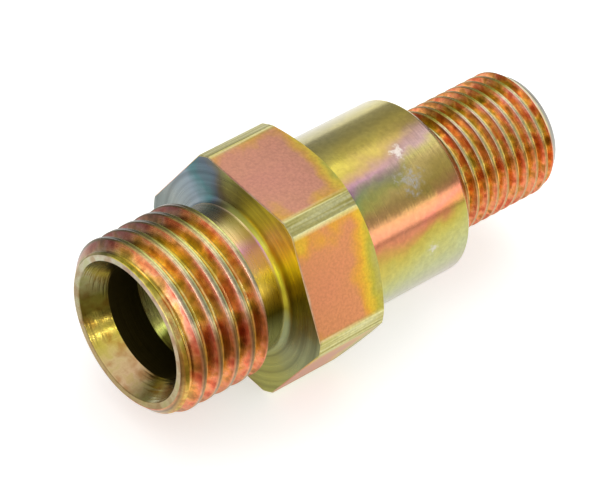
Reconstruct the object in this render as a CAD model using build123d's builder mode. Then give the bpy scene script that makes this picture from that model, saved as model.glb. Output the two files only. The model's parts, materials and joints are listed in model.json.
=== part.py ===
"""Steel union fitting: a male-to-male adaptor turned from one piece of hexagon bar.

The axis of the fitting lies along +X and the part rests on one hexagon flat, with +Z up.
The origin is on the axis, in the plane of the mouth of the coarse-thread end.
Lengths are in millimetres, and each x is measured along the axis from the mouth.
"""

from build123d import *
from math import radians, tan
import os

# Hexagon bar, and the collar turned behind it
across_flats = 17.0
corner_d = 19.0
hex_start = 10.2
hex_length = 7.0
hex_chamfer = 1.6
hex_chamfer_angle = 30.0
collar_d = 14.0
collar_length = 10.2
collar_edge = 0.6

# Coarse end, M14 x 1.5, with its undercut in front of the hexagon
coarse_d = 14.0
coarse_lead = 0.9
undercut_width = 2.8
undercut_depth = 1.15
undercut_fillet = 0.6

# Fine end, M10 x 1, with a narrow undercut behind the collar
fine_d = 10.0
fine_length = 10.9
fine_lead = 1.1
fine_lead_depth = 0.8
fine_undercut_width = 1.1
fine_undercut_depth = 0.7

# Both undercuts rise to their thread at the angle of its flank, measured from the axis
flank_angle = 60.0

# Passage: 60 degree sealing seat, counterbore with a drill-point floor, through bore
seat_mouth_d = 11.2
seat_angle = 60.0
counterbore_d = 9.0
counterbore_depth = 4.6
drill_point_angle = 118.0
bore_d = 6.5
bore_exit_chamfer = 0.4

# Stations along the axis, and the depth of each cone
hex_end = hex_start + hex_length
collar_end = hex_end + collar_length
overall_length = collar_end + fine_length
hex_chamfer_x = hex_chamfer * tan(radians(hex_chamfer_angle))
undercut_start = hex_start - undercut_width
undercut_r = coarse_d / 2 - undercut_depth
undercut_x = undercut_depth / tan(radians(flank_angle))
fine_undercut_end = collar_end + fine_undercut_width
fine_undercut_r = fine_d / 2 - fine_undercut_depth
fine_undercut_x = fine_undercut_depth / tan(radians(flank_angle))
seat_x = (seat_mouth_d - counterbore_d) / 2 / tan(radians(seat_angle / 2))
drill_point_x = (counterbore_d - bore_d) / 2 / tan(radians(drill_point_angle / 2))

# How near an edge lies to the place that it is looked for at
tolerance = 0.01


def is_ring(edge, x, r):
    """Whether a circular edge is the turned ring of radius r at station x."""
    return abs(edge.arc_center.X - x) < tolerance and abs(edge.radius - r) < tolerance


with BuildPart() as union_body:
    # The bar as sawn to length, with a corner to each side and a flat below and above
    with BuildSketch(Plane.YZ) as bar:
        RegularPolygon(radius=across_flats / 2, side_count=6, major_radius=False)
    extrude(amount=overall_length)

    # The outside, turned from the bar in one setting: what lies outside this outline is chips
    with BuildSketch(Plane.XY) as turned:
        with BuildLine():
            Polyline(
                (0, 0),
                (0, coarse_d / 2 - coarse_lead),
                (coarse_lead, coarse_d / 2),
                (undercut_start, coarse_d / 2),
                (undercut_start + undercut_x, undercut_r),
                (hex_start, undercut_r),
                (hex_start, corner_d / 2),
                (hex_end - hex_chamfer_x, corner_d / 2),
                (hex_end, corner_d / 2 - hex_chamfer),
                (hex_end, collar_d / 2),
                (collar_end, collar_d / 2),
                (collar_end, fine_undercut_r),
                (fine_undercut_end - fine_undercut_x, fine_undercut_r),
                (fine_undercut_end, fine_d / 2),
                (overall_length - fine_lead, fine_d / 2),
                (overall_length, fine_d / 2 - fine_lead_depth),
                (overall_length, 0),
                close=True,
            )
        make_face()
    revolve(axis=Axis.X, mode=Mode.INTERSECT)

    # The passage, bored from the mouth and drilled through
    with BuildSketch(Plane.XY) as passage:
        with BuildLine():
            Polyline(
                (0, 0),
                (0, seat_mouth_d / 2),
                (seat_x, counterbore_d / 2),
                (counterbore_depth, counterbore_d / 2),
                (counterbore_depth + drill_point_x, bore_d / 2),
                (overall_length - bore_exit_chamfer, bore_d / 2),
                (overall_length, bore_d / 2 + bore_exit_chamfer),
                (overall_length, 0),
                close=True,
            )
        make_face()
    revolve(axis=Axis.X, mode=Mode.SUBTRACT)

    # The undercut's corner is rounded into the hexagon, and the collar's rim is broken
    rings = union_body.edges().filter_by(GeomType.CIRCLE)
    fillet(rings.filter_by(lambda ring: is_ring(ring, hex_start, undercut_r)), radius=undercut_fillet)
    rings = union_body.edges().filter_by(GeomType.CIRCLE)
    chamfer(rings.filter_by(lambda ring: is_ring(ring, collar_end, collar_d / 2)), length=collar_edge)

union_body.part.label = "union_body"
os.makedirs("parts", exist_ok=True)
export_step(union_body.part, "parts/union_body.step")
print("length", overall_length, "volume", round(union_body.part.volume, 1))
print("centre of mass x", round(union_body.part.center(CenterOf.MASS).X, 2))
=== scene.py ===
"""A steel union fitting, turned in one piece from hexagon bar and plated with yellow passivated zinc.

The fitting is modelled in millimetres in the frame's own axes and brought to metres at the end:
x runs along its axis from the mouth, and its radius lies in the y-z plane.
"""

import json
from math import atan2, ceil, cos, pi, radians, sin, tan
from types import SimpleNamespace

import bpy
from mathutils import Matrix, Vector


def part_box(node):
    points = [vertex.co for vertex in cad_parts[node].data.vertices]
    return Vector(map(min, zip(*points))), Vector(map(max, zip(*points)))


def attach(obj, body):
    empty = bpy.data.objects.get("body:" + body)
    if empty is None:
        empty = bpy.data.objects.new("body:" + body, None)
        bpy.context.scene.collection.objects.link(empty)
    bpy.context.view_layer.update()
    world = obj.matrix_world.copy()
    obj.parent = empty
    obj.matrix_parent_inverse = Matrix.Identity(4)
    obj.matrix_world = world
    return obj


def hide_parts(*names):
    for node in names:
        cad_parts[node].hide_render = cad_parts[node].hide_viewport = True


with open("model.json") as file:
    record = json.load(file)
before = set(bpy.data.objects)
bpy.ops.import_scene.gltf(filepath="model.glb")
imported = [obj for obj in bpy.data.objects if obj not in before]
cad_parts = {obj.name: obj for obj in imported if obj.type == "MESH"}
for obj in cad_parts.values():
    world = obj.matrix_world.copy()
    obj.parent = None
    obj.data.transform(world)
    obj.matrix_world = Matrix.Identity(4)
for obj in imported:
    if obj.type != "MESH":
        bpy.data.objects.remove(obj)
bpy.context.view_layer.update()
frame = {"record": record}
bpy.ops.object.select_all(action="DESELECT")

# The bar: drawn steel with a hexagonal section, 17 mm across its flats. Only the wrench hexagon keeps
# the drawn flats. The front edge of each flat is eased a little, as deburring leaves it.
MM = 0.001
mounts = {mount["name"]: mount for mount in frame["record"]["mounts"]}
low, high = [[value / MM for value in corner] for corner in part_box("union_body")]
overall_length = high[0]
half_flats = high[2]
hex_start = mounts["shoulder_face"]["pos_m"][0] / MM
flat_ease = 0.12
overrun = 1.0  # how far a blank or a cutter stands past what it makes
merge_gap = 0.0005


def eased(corners, turn_step=12):
    """The (x, r) points of a closed outline of (x, r, radius) corners, each rounded by its radius.

    A rounded corner gets one run of the outline for each turn_step degrees, and at least two.
    """
    points = []
    for before, corner, after in zip(corners[-1:] + corners[:-1], corners, corners[1:] + corners[:1]):
        here = Vector(corner[:2])
        if corner[2] == 0:
            points.append(here)
            continue
        to_before = (Vector(before[:2]) - here).normalized()
        to_after = (Vector(after[:2]) - here).normalized()
        half_angle = to_before.angle(to_after) / 2
        centre = here + (to_before + to_after).normalized() * corner[2] / sin(half_angle)
        reach = corner[2] / tan(half_angle)
        first = here + to_before * reach - centre
        last = here + to_after * reach - centre
        sweep = atan2(first.cross(last), first.dot(last))
        pieces = max(2, ceil(abs(sweep) / radians(turn_step)))
        for i in range(pieces + 1):
            points.append(centre + Matrix.Rotation(sweep * i / pieces, 2) @ first)
    return points


def revolve(name, outline, steps, closed=False, pitch=0.0, turns=1):
    """Turns an outline of (x, r) points about the x axis, or winds it into a right-hand screw.

    steps is the number of sides that one full turn has.
    """
    mesh = bpy.data.meshes.new(name)
    edges = [(i, i + 1) for i in range(len(outline) - 1)]
    if closed:
        edges.append((len(outline) - 1, 0))
    mesh.from_pydata([(point[0], point[1], 0) for point in outline], edges, [])
    piece = bpy.data.objects.new(name, mesh)
    bpy.context.collection.objects.link(piece)
    bpy.context.view_layer.objects.active = piece
    screw = piece.modifiers.new("screw", "SCREW")
    screw.axis = "X"
    screw.steps = screw.render_steps = steps
    screw.screw_offset = pitch
    screw.iterations = turns
    bpy.ops.object.modifier_apply(modifier="screw")
    bpy.ops.object.mode_set(mode="EDIT")
    bpy.ops.mesh.select_all(action="SELECT")
    bpy.ops.mesh.remove_doubles(threshold=merge_gap)
    bpy.ops.mesh.normals_make_consistent(inside=False)
    bpy.ops.object.mode_set(mode="OBJECT")
    return piece


def combine(body, tool, operation):
    """Applies one exact boolean of the tool to the body and removes the tool."""
    bpy.context.view_layer.objects.active = body
    boolean = body.modifiers.new("boolean", "BOOLEAN")
    boolean.operation = operation
    boolean.solver = "EXACT"
    boolean.object = tool
    bpy.ops.object.modifier_apply(modifier="boolean")
    bpy.data.objects.remove(tool)


to_corner = 1 / cos(pi / 6)
fitting = revolve(
    "union_fitting",
    [
        (-overrun, 0),
        (-overrun, (half_flats - flat_ease) * to_corner),
        *[
            (hex_start + flat_ease * (1 - cos(a)), (half_flats - flat_ease * (1 - sin(a))) * to_corner)
            for a in (pi / 8, pi / 4, 3 * pi / 8, pi / 2)
        ],
        (overall_length + overrun, half_flats * to_corner),
        (overall_length + overrun, 0),
    ],
    steps=6,
)

# The turned blank: everything round is turned and bored from the bar in one setting. The mouth is a
# 60 degree sealing cone, and past the counterbore a drill-point step leads into the through bore.
# Sharp edges are broken: the outer ones to 0.1 mm or twice that, those of the passage to less.
corner_r = high[1]
hex_length = 7.0
hex_end = hex_start + hex_length
hex_chamfer = 1.6
hex_chamfer_angle = radians(30)
coarse_r = mounts["coarse_thread"]["dims"]["r_mm"]
coarse_lead = 0.9
flank = radians(30)
undercut_start = coarse_lead + mounts["coarse_thread"]["dims"]["length_mm"]
undercut_depth = 1.15
undercut_r = coarse_r - undercut_depth
undercut_fillet = 0.6
collar_r = mounts["collar"]["dims"]["r_mm"]
collar_edge = 0.6
collar_end = hex_end + mounts["collar"]["dims"]["length_mm"] + collar_edge
fine_r = mounts["fine_thread"]["dims"]["r_mm"]
fine_undercut_width = 1.1
fine_undercut_depth = 0.7
fine_undercut_r = fine_r - fine_undercut_depth
fine_start = collar_end + fine_undercut_width
fine_lead = 1.1
fine_lead_depth = 0.8
seat_mouth_r = 5.6
seat_half_angle = radians(30)
counterbore_r = mounts["counterbore"]["dims"]["r_mm"]
counterbore_end = 4.6
drill_point = radians(59)
bore_r = mounts["through_bore"]["dims"]["r_mm"]
bore_exit = 0.4
edge = 0.1
inner_edge = 0.06

blank = revolve(
    "blank",
    eased(
        [
            (0, seat_mouth_r, inner_edge),
            (0, coarse_r - coarse_lead, 2 * edge),
            (coarse_lead, coarse_r, 0),
            (undercut_start, coarse_r, 0),
            (undercut_start + (coarse_r - undercut_r) * tan(flank), undercut_r, edge),
            (hex_start, undercut_r, undercut_fillet),
            (hex_start, corner_r, edge),
            (hex_end - hex_chamfer * tan(hex_chamfer_angle), corner_r, edge),
            (hex_end, corner_r - hex_chamfer, edge),
            (hex_end, collar_r, edge),
            (collar_end - collar_edge, collar_r, 2 * edge),
            (collar_end, collar_r - collar_edge, 2 * edge),
            (collar_end, fine_undercut_r, edge),
            (fine_start - (fine_r - fine_undercut_r) * tan(flank), fine_undercut_r, edge),
            (fine_start, fine_r, 0),
            (overall_length - fine_lead, fine_r, 0),
            (overall_length, fine_r - fine_lead_depth, edge),
            (overall_length, bore_r + bore_exit, inner_edge),
            (overall_length - bore_exit, bore_r, inner_edge),
            (counterbore_end + (counterbore_r - bore_r) / tan(drill_point), bore_r, inner_edge),
            (counterbore_end, counterbore_r, inner_edge),
            ((seat_mouth_r - counterbore_r) / tan(seat_half_angle), counterbore_r, inner_edge),
        ]
    ),
    steps=288,
    closed=True,
)
combine(fitting, blank, "INTERSECT")

# The two threads: cut at 60 degrees, right-handed, M14 x 1.5 at the mouth and M10 x 1 at the far end.
# Each crest is a narrow flat with rounded shoulders and a faint seam, and each root is round.
# The cut starts or ends in an undercut and in the air past the fitting's end.
crest_shoulder = 0.07
crest_seam = 0.03
coarse = {"pitch": 1.5, "crest": 0.34, "root": 0.18, "crest_x": 0.784}
fine = {"pitch": 1.0, "crest": 0.20, "root": 0.12, "crest_x": 0.19}
coarse_run_out = 0.8
fine_run_in = 0.6


def cut_thread(thread, r, start, end, steps):
    """Cuts a thread into the fitting between two stations; crest_x is where a crest passes +y."""
    pitch, half_crest = thread["pitch"], thread["crest"] / 2
    first = thread["crest_x"] + pitch * ((start - 2 * pitch - thread["crest_x"]) // pitch)
    valley = r - (pitch / 2 - half_crest) / tan(flank)
    one_turn = eased(
        [
            (first, r - crest_seam, 0),
            (first + half_crest, r, crest_shoulder),
            (first + pitch / 2, valley, thread["root"]),
            (first + pitch - half_crest, r, crest_shoulder),
            (first + pitch, r - crest_seam, 0),
        ],
        turn_step=15,
    )
    turns = ceil((end - first) / pitch) + 2
    rod = revolve("rod", one_turn, steps, pitch=pitch, turns=turns)
    bpy.ops.object.mode_set(mode="EDIT")
    for station, side in ((start - pitch / 4, "clear_inner"), (end + pitch / 4, "clear_outer")):
        bpy.ops.mesh.select_all(action="SELECT")
        bpy.ops.mesh.bisect(
            plane_co=(station, 0, 0), plane_no=(1, 0, 0), use_fill=True, threshold=0.0001, **{side: True}
        )
    bpy.ops.mesh.select_all(action="SELECT")
    bpy.ops.mesh.normals_make_consistent(inside=False)
    bpy.ops.object.mode_set(mode="OBJECT")
    chips = revolve("chips", [(start, 0), (start, r + overrun), (end, r + overrun), (end, 0)], steps)
    combine(chips, rod, "DIFFERENCE")
    combine(fitting, chips, "DIFFERENCE")


cut_thread(coarse, coarse_r, -overrun, undercut_start + coarse_run_out, steps=216)
cut_thread(fine, fine_r, fine_start - fine_run_in, overall_length + overrun, steps=160)

# The finished fitting: cleaned of slivers and brought to metres, with flat faces flat and turned faces
# smooth. It stands for the whole CAD body and rides on it.
bpy.ops.object.select_all(action="DESELECT")
fitting.select_set(True)
bpy.context.view_layer.objects.active = fitting
bpy.ops.object.mode_set(mode="EDIT")
bpy.ops.mesh.select_all(action="SELECT")
bpy.ops.mesh.remove_doubles(threshold=merge_gap)
bpy.ops.mesh.dissolve_degenerate(threshold=0.0002)
bpy.ops.object.mode_set(mode="OBJECT")
fitting.scale = (MM, MM, MM)
bpy.ops.object.transform_apply(location=True, rotation=True, scale=True)
bpy.ops.object.shade_smooth_by_angle(angle=radians(22))
bpy.ops.object.select_all(action="DESELECT")
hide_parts("union_body")
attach(fitting, "root")

# The plating: a few microns of zinc under a yellow passivate, all over. To the eye it is a semi-bright metal
# whose thin film shifts between olive, yellow, pink and lilac. Each kind of cut surface has a finish of its
# own, with its film in bands around the axis and in soft patches.
shown_side = 126.5  # the middle of the side in view, in degrees about the axis from +y towards +z


def hex_colour(code):
    """An sRGB hex colour as linear RGBA."""
    channels = [int(code[i : i + 2], 16) / 255 for i in (1, 3, 5)]
    return [c / 12.92 if c <= 0.04045 else ((c + 0.055) / 1.055) ** 2.4 for c in channels] + [1.0]


def add(tree, kind, links=None, stops=None, **settings):
    """Adds a shader node with its settings, its linked or set inputs, and a ramp's colour stops."""
    node = tree.nodes.new("ShaderNode" + kind)
    for name, value in settings.items():
        setattr(node, name, value)
    for name, value in (links or {}).items():
        if isinstance(value, bpy.types.NodeSocket):
            tree.links.new(value, node.inputs[name])
        else:
            node.inputs[name].default_value = value
    if stops:
        ramp = node.color_ramp
        while len(ramp.elements) < len(stops):
            ramp.elements.new(1.0)
        for element, (position, colour) in zip(ramp.elements, stops):
            element.position = position
            element.color = hex_colour(colour)
    return node


def passivated(name):
    """Starts a finish, with the values that its patterns are drawn from.

    place is in mm, x is its distance from the mouth and radius that from the axis. around is the turn about
    the axis, 0.5 on the shown side, with 0 and 1 opposite. clouds are patches in the film, about 3 mm across.
    """
    material = bpy.data.materials.new(name)
    material.use_nodes = True
    tree = material.node_tree
    local = add(tree, "TexCoord").outputs["Object"]
    place = add(tree, "Mapping", {"Vector": local, "Scale": (1 / MM, 1 / MM, 1 / MM)}).outputs["Vector"]
    to_shown = (radians(-shown_side), 0, 0)
    facing = add(tree, "Mapping", {"Vector": place, "Rotation": to_shown}).outputs["Vector"]
    x, across, up = add(tree, "SeparateXYZ", {"Vector": facing}).outputs
    turn = add(tree, "Math", {0: up, 1: across}, operation="ARCTAN2").outputs[0]
    around = add(tree, "MapRange", {"Value": turn, "From Min": -pi, "From Max": pi}).outputs[0]
    section = add(tree, "Mapping", {"Vector": place, "Scale": (0, 1, 1)}).outputs["Vector"]
    radius = add(tree, "VectorMath", {0: section}, operation="LENGTH").outputs["Value"]
    clouds = add(tree, "TexNoise", {"Vector": place, "Scale": 0.35, "Detail": 3.0}).outputs["Fac"]
    # Turning marks run around the axis. On round faces they are about 0.15 mm apart, which is coarser than
    # real ones, so that they show. On end faces they lie three times as close.
    lathe = add(tree, "Math", {0: radius, 1: 3.0, 2: x}, operation="MULTIPLY_ADD").outputs[0]
    cut = add(tree, "CombineXYZ", {"X": lathe, "Y": across, "Z": up}).outputs["Vector"]
    stretched = add(tree, "Mapping", {"Vector": cut, "Scale": (7.0, 0.3, 0.3)}).outputs["Vector"]
    marks = add(tree, "TexNoise", {"Vector": stretched, "Scale": 1.0, "Detail": 2.0}).outputs["Fac"]
    return SimpleNamespace(
        material=material,
        tree=tree,
        place=place,
        x=x,
        radius=radius,
        around=around,
        clouds=clouds,
        marks=marks,
    )


def plate(finish, colour, marks, depth, roughness):
    """Ends a finish: a metal of that colour, with marks cut to a depth in mm that also set its roughness."""
    tree = finish.tree
    shader = tree.nodes["Principled BSDF"]
    shader.inputs["Metallic"].default_value = 1.0
    tree.links.new(colour, shader.inputs["Base Color"])
    smoothest, roughest = roughness
    rough = add(tree, "MapRange", {"Value": marks, "To Min": smoothest, "To Max": roughest}).outputs[0]
    tree.links.new(rough, shader.inputs["Roughness"])
    bump = add(tree, "Bump", {"Height": marks, "Strength": 1.0, "Distance": depth * MM})
    tree.links.new(bump.outputs["Normal"], shader.inputs["Normal"])
    fitting.data.materials.append(finish.material)


fitting.data.materials.clear()

# Flats of the drawn bar: satin, with an even speckle. The film is pink in the middle of each flat, yellow
# towards its edges and its back, and grey on the turned corners, where fine lines run along the bar.
flats = passivated("drawn_flats_yellow_zinc")
tree = flats.tree
first_corner = (180 - shown_side) / 60  # in sixths of a turn, as each flat takes one
sixths = add(tree, "Math", {0: flats.around, 1: 6.0, 2: -first_corner}, operation="MULTIPLY_ADD").outputs[0]
across_flat = add(tree, "Math", {0: sixths}, operation="FRACT").outputs[0]
# From flat to flat the pink lies a little further across, and ends further forward.
drift = {"From Min": 0.4, "From Max": 0.565, "To Min": 0.45, "To Max": 0.62}
middle = add(tree, "MapRange", {"Value": flats.around, **drift}).outputs[0]
from_middle = add(tree, "Math", {0: across_flat, 1: middle}, operation="SUBTRACT").outputs[0]
from_middle = add(tree, "Math", {0: from_middle}, operation="ABSOLUTE").outputs[0]
from_middle = add(tree, "Math", {0: from_middle, 1: 1.25}, operation="MULTIPLY").outputs[0]
backward = add(tree, "Math", {0: middle, 1: 7.0, 2: flats.x}, operation="MULTIPLY_ADD").outputs[0]
from_back = add(tree, "MapRange", {"Value": backward, "From Min": 17.0, "From Max": 21.4}).outputs[0]
edge_near = add(tree, "Math", {0: from_middle, 1: from_back}, operation="MAXIMUM").outputs[0]
wander = add(tree, "Math", {0: flats.clouds, 1: 0.8, 2: -0.4}, operation="MULTIPLY_ADD").outputs[0]
film = add(tree, "Math", {0: edge_near, 1: wander}, operation="ADD").outputs[0]
tint = add(
    tree,
    "ValToRGB",
    {"Fac": film},
    stops=[
        (0.0, "#CD896A"),
        (0.36, "#CD8C68"),
        (0.52, "#D49C48"),
        (0.64, "#D8B440"),
        (0.8, "#B4AC48"),
        (1.0, "#B0AC68"),
    ],
).outputs["Color"]
# Each flat gets its own tint and brightness as painted light and shade: cooler and darker on the top flat,
# darker on the front-right flat that the key lamp lights.
side = add(
    tree,
    "ValToRGB",
    {"Fac": flats.around},
    stops=[
        (0.0, "#FFF0E0"),
        (0.36, "#DBE4FC"),
        (0.46, "#DBE4FC"),
        (0.5, "#E8E2CC"),
        (0.63, "#E8E2CC"),
        (1.0, "#FFF0E0"),
    ],
).outputs["Color"]
tint = add(tree, "VectorMath", {0: tint, 1: side}, operation="MULTIPLY").outputs["Vector"]
# The corners' lines are 0.25 mm wide and some 8 mm long.
turned = {"From Min": corner_r - 0.2, "From Max": corner_r - 0.02}
corner = add(tree, "MapRange", {"Value": flats.radius, **turned}).outputs[0]
lengthwise = add(tree, "Mapping", {"Vector": flats.place, "Scale": (0.12, 4.0, 4.0)}).outputs["Vector"]
lines = add(tree, "TexNoise", {"Vector": lengthwise, "Scale": 1.0, "Detail": 1.0}).outputs["Fac"]
strip = add(
    tree, "ValToRGB", {"Fac": lines}, stops=[(0.35, "#908844"), (0.5, "#B4AC68"), (0.65, "#C8C490")]
).outputs["Color"]
tint = add(tree, "Mix", {0: corner, 6: tint, 7: strip}, data_type="RGBA").outputs[2]
# A painted edge highlight: the eased front edge is painted as an uneven line of pale tan, some 0.15 mm wide.
uneven = add(tree, "Math", {0: flats.clouds, 1: 0.5, 2: -0.25}, operation="MULTIPLY_ADD").outputs[0]
uneven = add(tree, "Math", {0: flats.x, 1: uneven}, operation="ADD").outputs[0]
edge_highlight_band = {"From Min": hex_start, "From Max": hex_start + 0.14, "To Min": 0.6, "To Max": 0.0}
painted_edge_highlight = add(tree, "MapRange", {"Value": uneven, **edge_highlight_band}).outputs[0]
tint = add(tree, "Mix", {0: painted_edge_highlight, 6: tint, 7: hex_colour("#C8B898")}, data_type="RGBA").outputs[2]
# The speckle is 0.2 mm across, coarser than the real grain of the drawn surface, so that it shows.
grain = add(tree, "TexNoise", {"Vector": flats.place, "Scale": 5.0, "Detail": 2.0}).outputs["Fac"]
speckle = {"From Min": 0.3, "From Max": 0.7, "To Min": 0.86, "To Max": 1.14}
shade = add(tree, "MapRange", {"Value": grain, **speckle}).outputs[0]
tint = add(tree, "VectorMath", {0: tint, 1: shade}, operation="MULTIPLY").outputs["Vector"]
plate(flats, tint, grain, depth=0.0012, roughness=(0.26, 0.44))

# Front shoulder of the hexagon: faced on the lathe, so it carries fine rings, some of them darker, about
# 0.4 mm apart. Its colour runs from blue-grey through olive to gold around the axis, partly film colour and
# partly painted reflection of the threads and the shaded tabletop, with a painted yellow glint.
shoulder = passivated("faced_shoulder_yellow_zinc")
tree = shoulder.tree
bend = add(tree, "Math", {0: shoulder.clouds, 1: 0.1, 2: -0.05}, operation="MULTIPLY_ADD").outputs[0]
film = add(tree, "Math", {0: shoulder.around, 1: bend}, operation="ADD").outputs[0]
tint = add(
    tree,
    "ValToRGB",
    {"Fac": film},
    stops=[
        (0.0, "#A8A060"),
        (0.13, "#788480"),
        (0.2, "#888F8C"),
        (0.26, "#7C8A94"),
        (0.295, "#487074"),
        (0.32, "#54606C"),
        (0.345, "#6C6448"),
        (0.38, "#A4A458"),
        (0.44, "#CCC854"),
        (0.485, "#F8F068"),
        (0.51, "#F0D040"),
        (0.535, "#F0E43C"),
        (0.57, "#B0A02C"),
        (0.61, "#807424"),
        (0.65, "#7C8058"),
        (0.7, "#90966C"),
        (0.8, "#A4A254"),
        (0.9, "#9A7A50"),
        (1.0, "#A8A060"),
    ],
).outputs["Color"]
rings = add(tree, "CombineXYZ", {"X": shoulder.radius, "Y": shoulder.around}).outputs["Vector"]
rings = add(tree, "TexNoise", {"Vector": rings, "Scale": 2.4, "Detail": 2.0}).outputs["Fac"]
darker = {"From Min": 0.3, "From Max": 0.7, "To Min": 0.72, "To Max": 1.2}
shade = add(tree, "MapRange", {"Value": rings, **darker}).outputs[0]
tint = add(tree, "VectorMath", {0: tint, 1: shade}, operation="MULTIPLY").outputs["Vector"]
plate(shoulder, tint, shoulder.marks, depth=0.01, roughness=(0.2, 0.4))

# The collar: turned and lightly polished, so it is the brightest part. Its film lies in bands of olive,
# yellow, lilac, green and rust, which slant along it and change towards the fine thread.
collar = passivated("turned_collar_yellow_zinc")
tree = collar.tree
slope = 0.0058  # turns per mm
slant = add(tree, "Math", {0: collar.x, 1: slope, 2: collar.around}, operation="MULTIPLY_ADD").outputs[0]
bend_offset = -0.035 - slope * hex_end
bend = add(tree, "Math", {0: collar.clouds, 1: 0.07, 2: bend_offset}, operation="MULTIPLY_ADD").outputs[0]
film = add(tree, "Math", {0: slant, 1: bend}, operation="ADD").outputs[0]
near_hexagon = add(
    tree,
    "ValToRGB",
    {"Fac": film},
    stops=[
        (0.0, "#B0A868"),
        (0.1, "#B08870"),
        (0.2, "#A8A880"),
        (0.3, "#A09870"),
        (0.35, "#B0A870"),
        (0.375, "#BCB068"),
        (0.41, "#C4B450"),
        (0.44, "#A89846"),
        (0.46, "#A48066"),
        (0.475, "#A87C98"),
        (0.492, "#90A864"),
        (0.515, "#B4B054"),
        (0.53, "#BC9858"),
        (0.545, "#C08264"),
        (0.575, "#C07860"),
        (0.59, "#BC7850"),
        (0.605, "#B09840"),
        (0.62, "#B8A848"),
        (0.68, "#B4B870"),
        (0.73, "#B0B098"),
        (0.85, "#B08C68"),
        (1.0, "#B0A868"),
    ],
).outputs["Color"]
near_thread = add(
    tree,
    "ValToRGB",
    {"Fac": film},
    stops=[
        (0.0, "#B0A868"),
        (0.3, "#A8A07C"),
        (0.37, "#C0B46E"),
        (0.42, "#C8B45A"),
        (0.45, "#AC9454"),
        (0.475, "#9C7E74"),
        (0.49, "#A48884"),
        (0.505, "#B0A464"),
        (0.52, "#D0B874"),
        (0.55, "#B49C50"),
        (0.573, "#C0865C"),
        (0.597, "#C87860"),
        (0.612, "#B8784C"),
        (0.628, "#B09C44"),
        (0.65, "#B4AC58"),
        (0.7, "#B0B480"),
        (0.8, "#A8A490"),
        (1.0, "#B0A868"),
    ],
).outputs["Color"]
spread = add(tree, "Math", {0: collar.clouds, 1: 8.0, 2: collar.x}, operation="MULTIPLY_ADD").outputs[0]
beyond = add(tree, "MapRange", {"Value": spread, "From Min": 21.5, "From Max": 26.5}).outputs[0]
tint = add(tree, "Mix", {0: beyond, 6: near_hexagon, 7: near_thread}, data_type="RGBA").outputs[2]
# A fine mottling, in specks of under 0.5 mm.
specks = {"Vector": collar.place, "Scale": 2.2, "Detail": 4.0, "Roughness": 0.7}
grain = add(tree, "TexNoise", specks).outputs["Fac"]
mottling = {"From Min": 0.35, "From Max": 0.65, "To Min": 0.9, "To Max": 1.08}
shade = add(tree, "MapRange", {"Value": grain, **mottling}).outputs[0]
tint = add(tree, "VectorMath", {0: tint, 1: shade}, operation="MULTIPLY").outputs["Vector"]
# Three small scuffs, each a centre and a reach in mm, where handling has scraped the film to a pale grey.
scuffs = (((23.4, -1.9, 6.75), 0.9), ((22.9, -4.0, 5.75), 1.7), ((23.3, -6.92, 1.0), 0.7))
worn = None
for centre, reach in scuffs:
    away = add(tree, "VectorMath", {0: collar.place, 1: centre}, operation="DISTANCE").outputs["Value"]
    near = add(tree, "MapRange", {"Value": away, "From Max": reach, "To Min": 1.0, "To Max": 0.0}).outputs[0]
    worn = near if worn is None else add(tree, "Math", {0: worn, 1: near}, operation="MAXIMUM").outputs[0]
smudged = {"Vector": collar.place, "Scale": 2.6, "Detail": 3.0, "Roughness": 0.7}
smudges = add(tree, "TexNoise", smudged).outputs["Fac"]
bare = add(tree, "Math", {0: worn, 1: 0.3, 2: smudges}, operation="MULTIPLY_ADD").outputs[0]
bare = add(tree, "MapRange", {"Value": bare, "From Min": 0.61, "From Max": 0.8, "To Max": 0.75}).outputs[0]
within = add(tree, "MapRange", {"Value": worn, "From Max": 0.2}).outputs[0]
bare = add(tree, "Math", {0: bare, 1: within}, operation="MULTIPLY").outputs[0]
tint = add(tree, "Mix", {0: bare, 6: tint, 7: hex_colour("#C8C2B8")}, data_type="RGBA").outputs[2]
# The turning marks are cut deepest in a band between the lilac and the rust.
rough_band = add(
    tree,
    "ValToRGB",
    {"Fac": film},
    stops=[(0.465, "#606060"), (0.5, "#FFFFFF"), (0.54, "#FFFFFF"), (0.57, "#606060")],
).outputs["Color"]
marks = add(tree, "Math", {0: collar.marks, 1: rough_band}, operation="MULTIPLY").outputs[0]
plate(collar, tint, marks, depth=0.024, roughness=(0.17, 0.32))

# The threads: cut, so they are bright and the film follows the groove. Old gold in the root turns to orange
# and rust up the flank, and each crest is a pale line with a green-grey back. The root's gold is lightened as
# painted light against the shade in the groove, and the pale crest line is partly a painted highlight. The
# side in view runs from violet-grey or olive above through a clear band to brown and pink below, partly film
# colour and partly painted light and shade.
coarse_sides = [
    (0.0, "#D8C8A4"),
    (0.2, "#A8A8A4"),
    (0.3, "#70707C"),
    (0.325, "#848484"),
    (0.35, "#D8D8A0"),
    (0.38, "#F8F4BC"),
    (0.46, "#F4F0E0"),
    (0.54, "#FFFFFF"),
    (0.585, "#AC8C70"),
    (0.63, "#9C805D"),
    (0.68, "#FFE4C8"),
    (0.75, "#E8D8B3"),
    (1.0, "#D8C8A4"),
]
fine_sides = [
    (0.0, "#F0E0BA"),
    (0.3, "#F4E8C1"),
    (0.335, "#ECDCAF"),
    (0.355, "#DCDC80"),
    (0.385, "#DCDC80"),
    (0.41, "#F8F0F0"),
    (0.46, "#FFF8FC"),
    (0.5, "#FFF8E8"),
    (0.54, "#FFFFE4"),
    (0.565, "#D0B07E"),
    (0.6, "#F4DCB6"),
    (0.68, "#F8E4C5"),
    (1.0, "#F0E0BA"),
]
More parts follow.
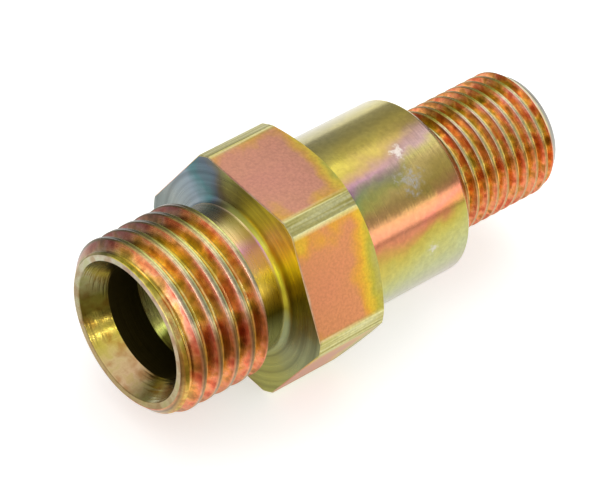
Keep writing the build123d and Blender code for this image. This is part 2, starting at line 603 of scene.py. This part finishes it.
for name, thread, sides, crest_top in (
    ("coarse_thread_yellow_zinc", coarse, coarse_sides, "#A09C84"),
    ("fine_thread_yellow_zinc", fine, fine_sides, "#D0C8A0"),
):
    threaded = passivated(name)
    tree = threaded.tree
    # The phase runs from 0 to 1 from root to root along the helix, with the crest at 0.5.
    pitch = thread["pitch"]
    shift = 0.5 - thread["crest_x"] / pitch + (180 - shown_side) / 360
    wound = add(tree, "Math", {0: threaded.x, 1: 1 / pitch, 2: shift}, operation="MULTIPLY_ADD").outputs[0]
    wound = add(tree, "Math", {0: wound, 1: threaded.around}, operation="SUBTRACT").outputs[0]
    phase = add(tree, "Math", {0: wound}, operation="FRACT").outputs[0]
    front = 0.5 - thread["crest"] / 2 / pitch
    back = 1 - front
    # The root's pale gold is lightened as painted light, against the shade deep in the groove.
    groove = add(
        tree,
        "ValToRGB",
        {"Fac": phase},
        stops=[
            (0.0, "#F8E890"),
            (front * 0.3, "#FCD4A6"),
            (front * 0.6, "#FCB89D"),
            (front * 0.88, "#E8A094"),
            (front * 0.97, "#F4DCCC"),
            (front + 0.03, "#D8C8B4"),
            (0.5, crest_top),
            (back - 0.04, "#C8D0A0"),
            (back + 0.02, "#D4CC88"),
            (1.0, "#F8E890"),
        ],
    ).outputs["Color"]
    # The side tint: partly film colour, partly painted light and shade, lighter through a clear band and
    # darker above and below.
    side = add(tree, "ValToRGB", {"Fac": threaded.around}, stops=sides).outputs["Color"]
    tint = add(tree, "VectorMath", {0: groove, 1: side}, operation="MULTIPLY").outputs["Vector"]
    # In the groove the film is blotched with rust and olive, in patches a little longer than the pitch.
    blotch_scale = (1.65 / pitch, 0.83 / pitch, 0.83 / pitch)
    along_groove = add(tree, "Mapping", {"Vector": threaded.place, "Scale": blotch_scale}).outputs["Vector"]
    blotches = add(tree, "TexNoise", {"Vector": along_groove, "Scale": 1.0, "Detail": 2.0}).outputs["Fac"]
    blotch = add(
        tree,
        "ValToRGB",
        {"Fac": blotches},
        stops=[(0.36, "#E0A894"), (0.44, "#FCDCCC"), (0.5, "#FFF8EC"), (0.57, "#F0E8B0"), (0.66, "#C0C088")],
    ).outputs["Color"]
    # A crest has no blotches: it goes from gold through a clear band to pink around the axis.
    crest = add(
        tree,
        "ValToRGB",
        {"Fac": threaded.around},
        stops=[(0.33, "#C0B080"), (0.42, "#FCF8F0"), (0.52, "#FCF4E4"), (0.57, "#DCC0A8"), (0.66, "#ECD0C0")],
    ).outputs["Color"]
    on_crest = add(tree, "Math", {0: phase, 1: 0.5, 2: 0.5 - front * 0.9}, operation="COMPARE").outputs[0]
    blotch = add(tree, "Mix", {0: on_crest, 6: blotch, 7: crest}, data_type="RGBA").outputs[2]
    tint = add(tree, "VectorMath", {0: tint, 1: blotch}, operation="MULTIPLY").outputs["Vector"]
    # Fine specks of under 0.4 mm.
    specks = {"Vector": threaded.place, "Scale": 2.6, "Detail": 3.0, "Roughness": 0.7}
    grain = add(tree, "TexNoise", specks).outputs["Fac"]
    mottling = {"From Min": 0.35, "From Max": 0.65, "To Min": 0.8, "To Max": 1.12}
    shade = add(tree, "MapRange", {"Value": grain, **mottling}).outputs[0]
    tint = add(tree, "VectorMath", {0: tint, 1: shade}, operation="MULTIPLY").outputs["Vector"]
    # The far end's rim and face, which only the fine thread reaches, are a dull grey.
    last_rim = {"From Min": overall_length - 0.75, "From Max": overall_length - 0.45}
    dull = add(tree, "MapRange", {"Value": threaded.x, **last_rim}).outputs[0]
    tint = add(tree, "Mix", {0: dull, 6: tint, 7: hex_colour("#787468")}, data_type="RGBA").outputs[2]
    plate(threaded, tint, threaded.marks, depth=0.004, roughness=(0.18, 0.32))

# The undercut: a smooth form-tool cut, with hardly a mark. Its colour is tan above with a lilac patch, then
# yellow, and olive below. The ramp is lightened as painted light against the shade between thread and
# hexagon, and its bright yellow is partly a painted highlight.
undercut = passivated("undercut_yellow_zinc")
tint = add(
    undercut.tree,
    "ValToRGB",
    {"Fac": undercut.around},
    stops=[
        (0.0, "#B0A868"),
        (0.34, "#D0B89C"),
        (0.375, "#D4BC88"),
        (0.4, "#ECD898"),
        (0.44, "#E4C088"),
        (0.465, "#E0A0C0"),
        (0.48, "#ECB0B8"),
        (0.5, "#F4C8B4"),
        (0.53, "#F8D860"),
        (0.57, "#A88828"),
        (0.61, "#584C0C"),
        (0.67, "#A8A46C"),
        (1.0, "#B0A868"),
    ],
).outputs["Color"]
plate(undercut, tint, undercut.marks, depth=0.004, roughness=(0.2, 0.36))

# The seat: the sealing cone and the lip around it, turned with visible rings. The cone is gold, with a
# painted dark reflection beside a painted yellow glint; the lip is tan and grey; and the drill-point step
# behind the cone is painted dark as shade, with a painted gleam of green-yellow.
seat = passivated("turned_seat_yellow_zinc")
tree = seat.tree
bend = add(tree, "Math", {0: seat.clouds, 1: 0.06, 2: -0.03}, operation="MULTIPLY_ADD").outputs[0]
film = add(tree, "Math", {0: seat.around, 1: bend}, operation="ADD").outputs[0]
# The cone's dark olive band is a painted reflection of the dark side near the camera, next to a painted
# yellow glint.
cone = add(
    tree,
    "ValToRGB",
    {"Fac": film},
    stops=[
        (0.0, "#E0C860"),
        (0.03, "#D8C058"),
        (0.07, "#544A18"),
        (0.12, "#544C1C"),
        (0.17, "#8C885C"),
        (0.27, "#B8BA9C"),
        (0.5, "#B0A068"),
        (0.78, "#B4B498"),
        (0.83, "#948C50"),
        (0.9, "#E4C094"),
        (0.96, "#E4C890"),
        (1.0, "#E8D068"),
    ],
).outputs["Color"]
# The step is painted dark as shade deep in the bore, with one narrow painted gleam of green-yellow.
step = add(
    tree,
    "ValToRGB",
    {"Fac": seat.around},
    stops=[
        (0.0, "#5C5830"),
        (0.04, "#504C28"),
        (0.09, "#3C3618"),
        (0.5, "#2C2814"),
        (0.88, "#3C3618"),
        (0.94, "#5C5820"),
        (0.965, "#E8F080"),
        (0.98, "#8C8848"),
        (1.0, "#5C5830"),
    ],
).outputs["Color"]
lip = add(
    tree,
    "ValToRGB",
    {"Fac": film},
    stops=[
        (0.0, "#A89060"),
        (0.12, "#A09874"),
        (0.28, "#B4B098"),
        (0.4, "#A89888"),
        (0.52, "#B8A084"),
        (0.7, "#ACA078"),
        (0.85, "#A08C58"),
        (1.0, "#A89060"),
    ],
).outputs["Color"]
past_lip = add(tree, "MapRange", {"Value": seat.x, "From Min": 0.03, "From Max": 0.1}).outputs[0]
past_cone = add(tree, "MapRange", {"Value": seat.x, "From Min": 3.0, "From Max": 3.1}).outputs[0]
tint = add(tree, "Mix", {0: past_lip, 6: lip, 7: cone}, data_type="RGBA").outputs[2]
tint = add(tree, "Mix", {0: past_cone, 6: tint, 7: step}, data_type="RGBA").outputs[2]
# Pinkish mottling in patches of about 1 mm.
patches = add(tree, "TexNoise", {"Vector": seat.place, "Scale": 0.9, "Detail": 3.0}).outputs["Fac"]
mottle = add(
    tree,
    "ValToRGB",
    {"Fac": patches},
    stops=[(0.36, "#E4CCB8"), (0.46, "#F4ECE4"), (0.54, "#FFFFFF"), (0.64, "#F4F8E0")],
).outputs["Color"]
tint = add(tree, "VectorMath", {0: tint, 1: mottle}, operation="MULTIPLY").outputs["Vector"]
plate(seat, tint, seat.marks, depth=0.03, roughness=(0.1, 0.32))

# The drilled passage: its walls are rough and little plating reaches them, so it looks dull and dark; it is
# also painted darkest deep inside as painted shade, and clears towards both ends.
bore = passivated("drilled_bore_thin_zinc_and_painted_shade")
passage = {"From Min": 1.5, "From Max": overall_length}
inward = add(bore.tree, "MapRange", {"Value": bore.x, **passage}).outputs[0]
tint = add(
    bore.tree,
    "ValToRGB",
    {"Fac": inward},
    stops=[(0.0, "#5C5028"), (0.08, "#50481F"), (0.18, "#241E12"), (0.6, "#2A2418"), (1.0, "#6C6448")],
).outputs["Color"]
plate(bore, tint, bore.marks, depth=0.02, roughness=(0.4, 0.6))

# Each face takes the finish of the cut that made it. The cut is told from the face's distance along and
# from the axis, in mm, and from how far the face looks outward.
slots = {material.name: i for i, material in enumerate(fitting.data.materials)}
for face in fitting.data.polygons:
    x = face.center.x / MM
    radial = Vector((0, face.center.y, face.center.z)) / MM
    r = radial.length
    outward = face.normal.dot(radial.normalized())
    if outward < -0.9:
        finish = "drilled_bore_thin_zinc_and_painted_shade"
    elif outward < -0.2 or (x < 0.05 and outward < 0.2):
        finish = "turned_seat_yellow_zinc"
    elif x < undercut_start or (x < hex_start - 1 and r > undercut_r + 0.05):
        finish = "coarse_thread_yellow_zinc"
    elif x < hex_start - 0.01 and r < undercut_r + 0.03:
        finish = "undercut_yellow_zinc"
    elif x < hex_end and (face.normal.x < -0.9 or r < half_flats - 1):
        finish = "faced_shoulder_yellow_zinc"
    elif x < hex_end + 0.02 and r > collar_r + 0.05:
        finish = "drawn_flats_yellow_zinc"
    elif x < collar_end + 0.01 and r > fine_r + 0.1:
        finish = "turned_collar_yellow_zinc"
    else:
        finish = "fine_thread_yellow_zinc"
    face.material_index = slots[finish]

# The stage: a pale paper tabletop under the lower flat, which looks white to the camera and in the metal,
# and keeps the fitting's shadow. A pale studio dome stands over it.
floor_z = low[2] * MM
bpy.ops.mesh.primitive_plane_add(size=4, location=(0, 0, floor_z))
floor = bpy.context.object
floor.name = "tabletop"
paper = bpy.data.materials.new("white_paper")
paper.use_nodes = True
tree = paper.node_tree
sheet = tree.nodes["Principled BSDF"]
sheet.inputs["Base Color"].default_value = hex_colour("#F6F6F4")
sheet.inputs["Roughness"].default_value = 0.9
sheet.inputs["Emission Color"].default_value = hex_colour("#FFFFFF")
ray = add(tree, "LightPath")
seen = ray.outputs["Is Camera Ray"]
for kind in ("Is Glossy Ray", "Is Transmission Ray"):
    seen = add(tree, "Math", {0: seen, 1: ray.outputs[kind]}, operation="MAXIMUM").outputs[0]
glow = add(tree, "Math", {0: seen, 1: 0.5}, operation="MULTIPLY").outputs[0]
tree.links.new(glow, sheet.inputs["Emission Strength"])
floor.data.materials.append(paper)

world = bpy.data.worlds.new("studio")
bpy.context.scene.world = world
world.use_nodes = True
tree = world.node_tree
upward = add(tree, "SeparateXYZ", {"Vector": add(tree, "TexCoord").outputs["Generated"]}).outputs["Z"]
dome = add(
    tree,
    "ValToRGB",
    {"Fac": upward},
    stops=[(0.0, "#C8C8C8"), (0.35, "#B8B8B8"), (0.62, "#F0F0F0"), (1.0, "#FFFFFF")],
).outputs["Color"]
background = tree.nodes["Background"]
tree.links.new(dome, background.inputs["Color"])
background.inputs["Strength"].default_value = 0.8


def lamp(name, azimuth, elevation, distance, size, power):
    """A soft rectangular lamp aimed at the fitting's middle, in degrees, metres and watts."""
    light = bpy.data.lights.new(name, "AREA")
    light.shape = "RECTANGLE"
    light.size, light.size_y = size
    light.energy = power
    holder = bpy.data.objects.new(name, light)
    bpy.context.collection.objects.link(holder)
    a, e = radians(azimuth), radians(elevation)
    direction = Vector((cos(e) * cos(a), cos(e) * sin(a), sin(e)))
    holder.location = Vector((overall_length / 2 * MM, 0, 0)) + direction * distance
    holder.rotation_euler = direction.to_track_quat("Z", "Y").to_euler()


# The lamps: a low key from the right for the long highlight, a large top, a wide fill into the mouth, and
# three small ones for the gleams in the cone and on the crests.
lamp("key", -58, 12, 0.5, (0.35, 0.135), 0.29)
lamp("top", 30, 62, 0.6, (0.5, 0.4), 0.7)
lamp("fill", 172, 10, 0.6, (0.6, 0.25), 0.4)
lamp("front", -177, 3, 0.5, (0.1, 0.04), 0.05)
lamp("glint_low", -120, 14, 0.5, (0.02, 0.02), 0.05)
lamp("glint_high", -127, 30, 0.5, (0.02, 0.02), 0.05)

# The camera: it stands where the photographer did, with a long lens, and looks down into the mouth. Its
# place, turn and lens were solved from the fitting's outline in the photograph.
target = Vector((16.4, 0, 0)) * MM
camera_distance = 0.3201  # in metres
look = Vector((0.51856, 0.50875, -0.68720)).normalized()
picture_right = Vector((0.75724, -0.64649, 0.09278)).normalized()
picture_up = picture_right.cross(look)
camera_data = bpy.data.cameras.new("camera")
camera_data.sensor_width = 36
camera_data.lens = 261.08
camera_data.clip_start = 0.01
camera = bpy.data.objects.new("camera", camera_data)
bpy.context.collection.objects.link(camera)
turn = Matrix((picture_right, picture_up, -look)).transposed().to_4x4()
camera.matrix_world = Matrix.Translation(target - look * camera_distance) @ turn
bpy.context.scene.camera = camera

bpy.context.scene.view_settings.view_transform = "Standard"
